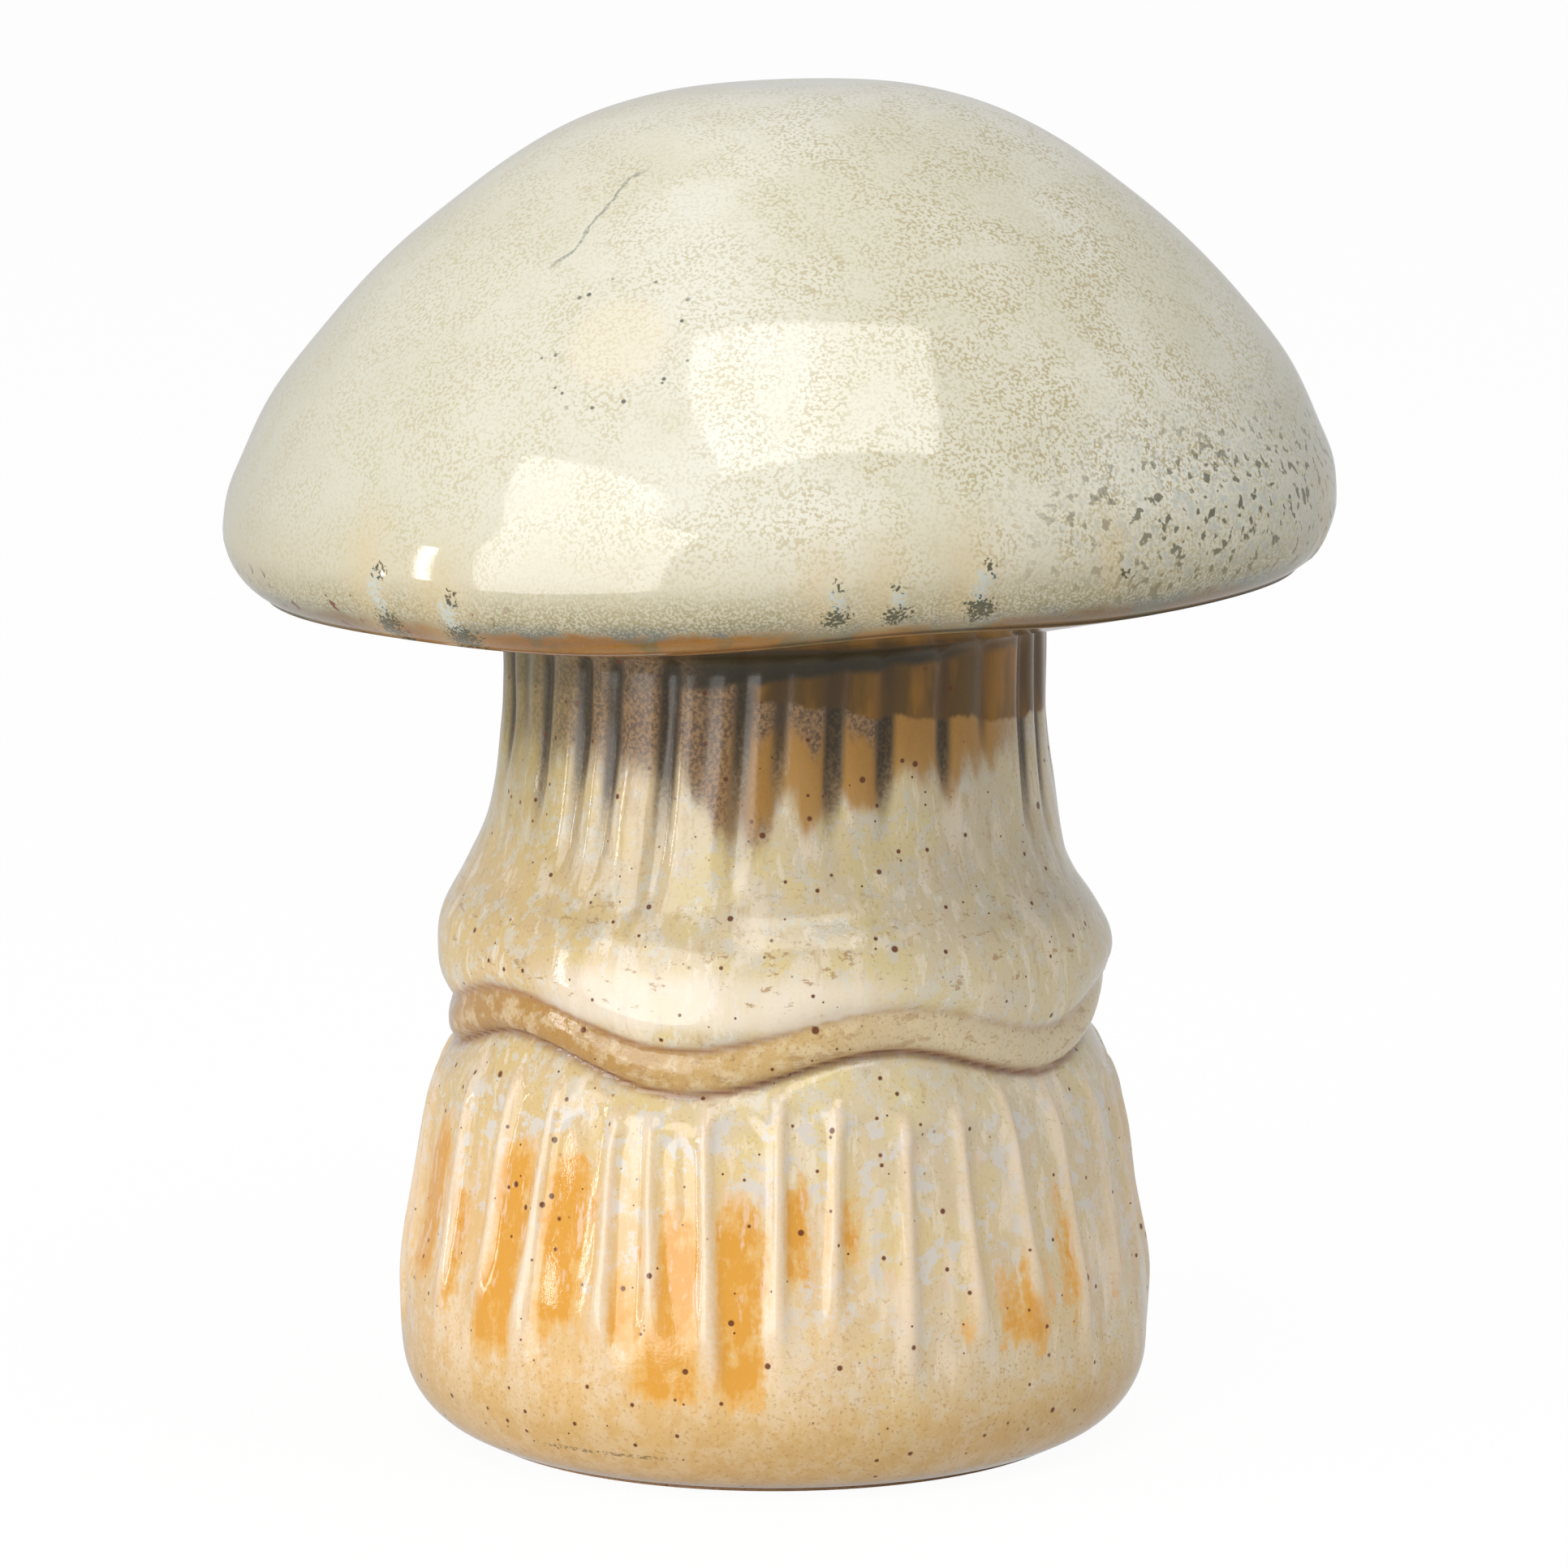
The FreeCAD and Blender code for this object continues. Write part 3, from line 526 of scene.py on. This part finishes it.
for i, (left, right) in enumerate(zip(ridge_angles, next_angles)):
    lean = 0.12 * math.sin(1.1 * i)
    bottom, top = flute_foot + foot_scatter * math.sin(2.1 * i), flute_top + top_scatter * math.sin(1.3 * i)
    half_width = (right - left) / 2 * math.radians(1) * bulb_wall
    off_middle = turn_from((left + right) / 2, lean, flute_middle) / half_width
    low_end, high_end = bottom + foot_taper * off_middle ** 2, top - top_rounding * off_middle ** 2
    scooped = np.clip(1 - off_middle ** 4, 0, 1) * step(z, low_end, low_end + foot_fade)
    flute = np.maximum(flute, scooped * (1 - step(z, high_end - top_fade, high_end + top_overrun)))
    crest = np.exp(-np.abs(turn_from(left, lean, flute_middle) / crest_here) ** 3)
    crest = crest * step(z, bottom, bottom + ridge_fade) * (1 - step(z, top, top + ridge_overrun))
    ridge = np.maximum(ridge, crest)
# Short scratches between them, left by the tool's corner
scratch_depth, scratch_width, scratch_height, scratch_scatter = 0.14, 0.42, 23, 6
scratch_below, scratch_above = (-6, -2), (1, 5)
scratch_count, scratch_stray = 40, 4
for i in range(scratch_count):
    middle = scratch_height + scratch_scatter * math.sin(1.7 * i)
    reach = step(z - middle, *scratch_below) * (1 - step(z - middle, *scratch_above))
    scratch_angle = 360 / scratch_count * i + scratch_stray * math.sin(2.7 * i)
    aside = turn_from(scratch_angle, 0.5 * math.sin(3.3 * i), middle)
    moved += scratch_depth * math.sin(4.1 * i) * reach * hump(aside, 0, scratch_width)
moved += ridge_height * ridge - flute_depth * flute * (1 - 0.5 * ridge)

# Amber pools in the flutes: each one's angle, lower and upper end, width and strength
pools = (
    (-71, 13, 32, 2.6, 1.2), (-60, 11, 27, 2.2, 0.8), (-47, 9, 32, 2.9, 1.3), (-35, 12, 32, 2.6, 1.2),
    (-24.5, 11, 23, 2.0, 1.1), (-15.5, 6.5, 27.5, 2.6, 1.4), (-5.8, 7, 28.5, 2.6, 1.3),
    (2.4, 17, 31, 1.8, 1.1), (9.8, 18, 30, 1.8, 1.0), (15, 9, 15, 2.2, 0.6), (30, 12, 20, 1.6, 0.45),
    (42, 10, 23, 2.7, 0.9), (53, 11, 28, 1.9, 0.75), (67, 12, 26, 2.0, 0.6), (96, 9, 26, 2.6, 0.9),
    (128, 11, 28, 2.4, 0.7), (160, 8, 24, 2.8, 1.0), (-166, 10, 27, 2.5, 0.9), (-140, 9, 29, 2.6, 1.1),
    (-118, 11, 30, 2.4, 0.9), (-92, 10, 28, 2.6, 1.1),
)
pool_drift, pool_middle, pool_low_fade, pool_high_fade = 0.06, 22, 5, 6
pool = np.zeros_like(z)
for centre, low, high, width, strength in pools:
    reach = step(z, low, low + pool_low_fade) * (1 - step(z, high - pool_high_fade, high))
    pool = np.maximum(pool, strength * reach * hump(turn_from(centre, pool_drift, pool_middle), 0, width))
pool = pool * (1 - 0.85 * ridge)

# Lumps of the hand-worked skirt: how far each stands out, where round the stem, its height and spread
left_lump_angle, left_lump_spread = -80, 12
left_lump = hump(angle, left_lump_angle, left_lump_spread)
three_lumps, seven_lumps = np.sin(np.radians(3 * angle + 40)), np.sin(np.radians(7 * angle))
skirt_lumps = (
    (0.5, to_right, 43.5, 2.8), (0.4, left_lump, 46.5, 2.2), (0.5, to_left, 50.5, 3.5),
    (-0.55, to_right, 50.5, 3.5), (0.22, three_lumps, 44.5, 4), (0.12, seven_lumps, 50, 5),
)
for out, where, height, spread in skirt_lumps:
    moved += out * where * hump(z, height, spread)
# Shallow dents all over, above the foot
dent_depth, dent_heights = 0.10, (3, 8)
dent_across, dent_back, dent_up, dent_slant = 2.9, 3.1, 3.3, 4.7
dents = np.sin(x / dent_across + z / dent_up) * np.sin(y / dent_back - z / dent_slant)
moved += dent_depth * dents * step(z, *dent_heights)
# No mark cuts through the coat or stands out past the cast form, and the dry foot's edge stays true.
deepest_mark, highest_mark, edge_fade = -0.58, 2.4, 2
moved = np.clip(moved, deepest_mark, highest_mark) * on_outside * step(z, dry_foot, dry_foot + edge_fade)
x, y = x * (1 + moved / radius), y * (1 + moved / radius)
# The top leans with the cap's underside.
leaning_heights = (66, 73)
z = z + step(z, *leaning_heights) * (x * math.tan(-cap_roll) + y * math.tan(cap_nod))
set_mesh_points(stem_coat, np.column_stack([x, y, z]))

stem_marks = {
    "groove": groove, "ridge": ridge, "pool": pool, "band": band, "above_band": above_band,
    "below_band": below_band, "flutes": flutes,
}
store_marks(stem_coat, stem_marks)

# Amber celadon over buff clay: a curdled cream ground, yellower at the left and greyer at the right
streak_size, cloud_size, grain_size, curd_size, vein_size, fine_size = 3.2, 7.0, 0.36, 1.9, 1.3, 1.5
stem_relief = 0.035
left_side, right_side = (-2, -24), (2, 22)
stem_glaze, tree, place = new_material("amber_celadon_glaze")
across, back, up = add_node(tree, "SeparateXYZ", {"Vector": place})
groove, ridge, pool, band, above_band, below_band, flutes = (
    add_node(tree, "Attribute", attribute_name=name)["Fac"] for name in stem_marks
)
streaks = mottle(tree, place, streak_size, detail=4.0, squeeze=(1.0, 1.0, 0.25))
clouds = mottle(tree, place, cloud_size, detail=4.0, offset=2.2)
grain = mottle(tree, place, grain_size, detail=3.0, roughness=0.7, offset=4.0)
curds = mottle(tree, place, curd_size, detail=4.0, roughness=0.7, offset=5.0)
veins = mottle(tree, place, vein_size, detail=4.0, roughness=0.7, squeeze=(0.6, 0.6, 1.3), offset=8.0)
fine = mottle(tree, place, fine_size, detail=4.0, roughness=0.7, squeeze=(1.0, 1.0, 0.22), offset=6.0)
glaze = lay_colours(
    tree, colour("#c7b695"),
    ("#ccba88", (clouds, 0.42, 0.58)),
    ("#c2a067", (across, *left_side, 0.0, 0.55)),
    ("#bfb5a0", (across, *right_side, 0.0, 0.45)),
    ("#c3bdae", (curds, 0.50, 0.60, 0.0, 0.7)),
    ("#d9cab2", (streaks, 0.54, 0.64, 0.0, 0.7)),
    ("#b39a72", (fine, 0.56, 0.66, 0.0, 0.5)),
    ("#ded3c0", (fine, 0.44, 0.36, 0.0, 0.5)),
    ("#a58a5c", (grain, 0.56, 0.70, 0.0, 0.6)),
)
# Peach over the lower half, stronger at the left, and ochre round the foot
peach_heights, peach_side, foot_heights, ochre_heights = (36, 20), (14, -6), (12, 5), (22, 8)
uneven = sum_of(tree, (streaks, 0.5, 0), (curds, 0.5, 0))
peach = lay_colours(tree, colour("#d0a970"), ("#d6bc98", (uneven, 0.44, 0.56)))
glaze = lay_colours(
    tree, glaze,
    (peach, (up, *peach_heights), (across, *peach_side, 0.25, 0.8)),
    ("#bd9a60", (up, *foot_heights), (curds, 0.35, 0.6, 0.9, 0.6)),
    ("#a27c45", (up, *ochre_heights), (grain, 0.54, 0.68, 0.0, 0.55)),
)
# Golden pools in the flutes, curdled grey-white patches round them, cream ridges between
pooled = sum_of(tree, (pool, 1, 0), (fine, 2.0, 0.5), (curds, 2.0, 0.5))
glaze = lay_colours(
    tree, glaze,
    ("#d0a158", (pooled, 0.20, 0.60, 0.0, 0.9), (pool, 0.02, 0.15)),
    ("#c98d2c", (pooled, 0.50, 1.0, 0.0, 0.9), (pool, 0.1, 0.3)),
    ("#c6bfb6", flutes, (curds, 0.52, 0.60), (pooled, 0.7, 0.3, 0.0, 0.85)),
    ("#d9c0a8", flutes, (fine, 0.56, 0.64, 0.0, 0.55)),
    ("#d6c1a6", ridge, (grain, 0.35, 0.6, 0.95, 0.6)),
)
# Rolled band: ochre at the left, tan at the right, with a brown line under it and a fainter one over
band_left, band_right, over_line_side = (-18, -2), (-2, 18), (14, -10)
band_colour = lay_colours(
    tree, colour("#a3793c"),
    ("#b8975e", (across, *band_left)),
    ("#c4b596", (across, *band_right)),
    ("#cdb892", (curds, 0.45, 0.62, 0.0, 0.6)),
    ("#8f6c3c", (grain, 0.54, 0.68, 0.0, 0.55)),
    ("#94703f", (veins, 0.56, 0.64, 0.0, 0.5)),
)
glaze = lay_colours(
    tree, glaze,
    (band_colour, band, 0.92),
    ("#8d5a2c", above_band, (across, *over_line_side, 0.3, 0.85)),
    ("#7c4218", below_band, 0.9),
)
# A pale cream patch just over the band left of the middle, partly thick pale glaze and partly a painted
# highlight where the left softbox shows, and fine brown veins over the skirt
pale_from, pale_to, pale_left, pale_right = (40, 42), (47.5, 44), (-24, -16), (16, 4)
vein_from, vein_to = (41.5, 43.5), (55, 48)
off_band = sum_of(tree, (band, -1, 0.7))
pale_glaze_and_highlight = product_of(
    tree, (up, *pale_from), (up, *pale_to), (across, *pale_left), (across, *pale_right), off_band)
glaze = lay_colours(
    tree, glaze,
    ("#dccfbd", (pale_glaze_and_highlight, 0.0, 0.7, 0.0, 0.7)),
    ("#9f7d50", (up, *vein_from), (up, *vein_to), (veins, 0.60, 0.66, 0.0, 0.75)),
)
# Neck: a grainy rose-brown under the cap whose lower edge wanders and hangs lowest left of the middle,
# ochre tips below it at the right, and olive at the left
wander_reach, hang_depth, tip_slope = 12, 6, -0.22
hang_left, hang_right, brown_heights, brown_side = (-9, -5), (2, -1), (60.5, 65.5), (24, 14)
tip_from, tip_to, tip_left, tip_right = (57.2, 60), (65.5, 63.5), (-6, 0), (23, 18)
olive_side, olive_heights = (-12, -24), (50, 62)
ragged_height = sum_of(tree, (up, 1, 0), (streaks, wander_reach, 0.5))
hanging = product_of(tree, (across, *hang_left), (across, *hang_right))
brown_height = sum_of(tree, (ragged_height, 1, 0), (hanging, hang_depth, 0))
brown_share = product_of(tree, (brown_height, *brown_heights), (across, *brown_side, 0.2, 0.95))
tip_height = sum_of(tree, (ragged_height, 1, 0), (across, tip_slope, 0))
rose_brown = lay_colours(tree, colour("#8f6d46"), ("#573e2a", (grain, 0.40, 0.60)))
tips = product_of(
    tree, (tip_height, *tip_from), (tip_height, *tip_to), (across, *tip_left), (across, *tip_right))
glaze = lay_colours(
    tree, glaze,
    (rose_brown, brown_share),
    ("#a5772f", tips, 0.9),
    ("#817948", (across, *olive_side), (ragged_height, *olive_heights, 0.0, 0.55)),
)
# Dark glaze in the grooves, paler towards their lower ends
dark_groove_heights, groove_heights = (57.5, 65), (53, 63)
groove_low = lay_colours(tree, colour("#645136"), ("#948367", (grain, 0.4, 0.65)))
groove_top = lay_colours(tree, colour("#281f0c"), ("#4a3b1f", (grain, 0.4, 0.65)))
groove_colour = lay_colours(tree, groove_low, (groove_top, (ragged_height, *dark_groove_heights)))
groove_share = product_of(tree, (groove, 0.25, 0.90), (ragged_height, *groove_heights))
glaze = lay_colours(tree, glaze, (groove_colour, groove_share, 0.95))
# Amber glass right of the middle, and painted shade in the corner under the cap, browner at the right. Both
# edges slope across the neck.
glass_slope, glass_wander, glass_heights = 0.13, 3.0, (68.2, 68.7)
side_wander, glass_side = 6.0, (-3.5, -1.5)
corner_shade_slope, corner_shade_wander, corner_shade_heights = -0.094, 2.4, (70, 70.8)
corner_shade_left, corner_shade_right = (-11, -5), (12, 22)
glass_height = sum_of(tree, (up, 1, 0), (across, glass_slope, 0), (streaks, glass_wander, 0.5))
glass_across = sum_of(tree, (across, 1, 0), (streaks, side_wander, 0.5))
corner_shade_height = sum_of(tree, (up, 1, 0), (across, corner_shade_slope, 0), (streaks, corner_shade_wander, 0.5))
amber_glass = lay_colours(
    tree, colour("#5e4208"),
    ("#8f6210", (streaks, 0.40, 0.60)),
    ("#432d12", groove, 0.7),
)
# Painted shade under the cap: near black, browner at the right and fainter at the left
painted_corner_shade = lay_colours(tree, colour("#2e2816"), ("#644719", (across, *corner_shade_right)))
glaze = lay_colours(
    tree, glaze,
    (amber_glass, (glass_height, *glass_heights), (glass_across, *glass_side)),
    (painted_corner_shade, (corner_shade_height, *corner_shade_heights, 0.0, 0.95), (across, *corner_shade_left, 0.3, 1.0)),
)
# Iron spots, 0.3 to 0.9 mm across: their spacing, radius, and the share of places that have one
spot_kinds = ((1.1, 0.14, 0.22), (1.9, 0.25, 0.5), (3.1, 0.34, 0.55), (6.0, 0.44, 0.5))
for spacing, spot_radius, spot_share in spot_kinds:
    spots = add_node(tree, "TexVoronoi", {"Vector": place, "Scale": 1 / spacing})
    lot = add_node(tree, "SeparateColor", {"Color": spots["Color"]})["Red"]
    chosen = add_node(tree, "Math", {0: lot, 1: 1 - spot_share}, operation="GREATER_THAN")[0]
    limit = spot_radius / spacing
    glaze = lay_colours(tree, glaze, ("#5e2b08", (spots["Distance"], limit * 0.6, limit, 0.95, 0.0), chosen))
# The speckled trace of a mould seam, low on the left of the front
seam_height, seam_half_width, seam_front = 3.8, 0.18, (0, -10)
seam_left, seam_right = (-20.5, -19), (-8, -11)
off_seam = add_node(tree, "Math", {0: sum_of(tree, (up, 1, seam_height))}, operation="ABSOLUTE")[0]
on_seam = add_node(tree, "Math", {0: off_seam, 1: seam_half_width}, operation="LESS_THAN")[0]
glaze = lay_colours(tree, glaze, (
    "#7d6943", on_seam, (across, *seam_left), (across, *seam_right), (back, *seam_front),
    (grain, 0.45, 0.55, 0.0, 0.8),
))
# Glassy all over but for the brown and the grooves, which are drier
relief = sum_of(tree, (curds, 0.7, 0), (grain, 0.3, 0))
dry = add_node(tree, "Math", {0: brown_share, 1: groove_share}, operation="MAXIMUM")[0]
finish_material(tree, glaze, product_of(tree, (dry, 0.2, 0.8, 0.05, 0.28)), relief, stem_relief)
stem_coat.data.materials.append(stem_glaze)
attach(stem_coat, "root")
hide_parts("stem_glaze")


# Studio
# A plain white sweep with a tall softbox at the left front, a broad soft one overhead, a thin strip
# at the far left and a faint fill all round. Their shapes are the highlights that the glaze shows.

# Each softbox: its name, its azimuth right of the front and its elevation in degrees, its width and
# height in metres, and its watts
softboxes = (
    ("softbox_left", -44, 12.5, 0.68, 0.91, 7.0),
    ("softbox_overhead", 9, 62, 0.75, 0.62, 5.2),
    ("softbox_strip", -74, 5, 0.07, 0.35, 0.9),
)
cap_centre, lamp_distance = Vector((0, 0, 0.09)), 1.0
for name, azimuth, elevation, width, height, watts in softboxes:
    turn, lift = math.radians(azimuth), math.radians(elevation)
    away = Vector((math.sin(turn) * math.cos(lift), -math.cos(turn) * math.cos(lift), math.sin(lift)))
    lamp = bpy.data.lights.new(name, "AREA")
    lamp.shape, lamp.size, lamp.size_y, lamp.energy = "RECTANGLE", width, height, watts
    softbox = bpy.data.objects.new(name, lamp)
    softbox.location = cap_centre + away * lamp_distance
    softbox.rotation_euler = (-away).to_track_quat("-Z", "Y").to_euler()
    bpy.context.scene.collection.objects.link(softbox)

# The air lights the object softly, and the camera sees it nearly white.
fill_strength, seen_strength = 0.6, 0.985
world = bpy.data.worlds.new("studio_air")
bpy.context.scene.world = world
world.use_nodes = True
air = world.node_tree
air.nodes.clear()
seen = add_node(air, "LightPath")["Is Camera Ray"]
strength = product_of(air, (seen, 0.0, 1.0, fill_strength, seen_strength))
background = add_node(air, "Background", {"Color": colour("#ffffff"), "Strength": strength})[0]
add_node(air, "OutputWorld", {"Surface": background})

# White paper that keeps the object's shadow, but shows the camera mostly plain white. It isn't
# mirrored in the glaze.
sweep_size, plain_share = 30.0, 0.96
bpy.ops.object.select_all(action="DESELECT")
bpy.ops.mesh.primitive_plane_add(size=sweep_size, location=(0, 0, 0))
sweep = bpy.context.object
sweep.name = "white_sweep"
sweep.visible_glossy = False
paper, tree, _ = new_material("white_paper_sweep")
seen = add_node(tree, "LightPath")["Is Camera Ray"]
shaded = add_node(tree, "BsdfDiffuse", {"Color": colour("#f2f2f2")})[0]
plain = add_node(tree, "Emission", {"Color": colour("#ffffff"), "Strength": 1.0})[0]
plain_here = product_of(tree, seen, plain_share)
both = add_node(tree, "MixShader", {0: plain_here, 1: shaded, 2: plain})[0]
add_node(tree, "OutputMaterial", {"Surface": both})
sweep.data.materials.append(paper)

# The photograph's view: a long lens, a little above the cap's rim, dipped towards the ring
camera_place, camera_dip = (0.00085, -0.600, 0.150), 8.72
camera_data = bpy.data.cameras.new("camera")
camera_data.lens, camera_data.sensor_width = 155.5, 36.0
camera = bpy.data.objects.new("camera", camera_data)
camera.location = camera_place
camera.rotation_euler = (math.radians(90 - camera_dip), 0, 0)
bpy.context.scene.collection.objects.link(camera)
bpy.context.scene.camera = camera
bpy.context.scene.view_settings.view_transform = "Standard"
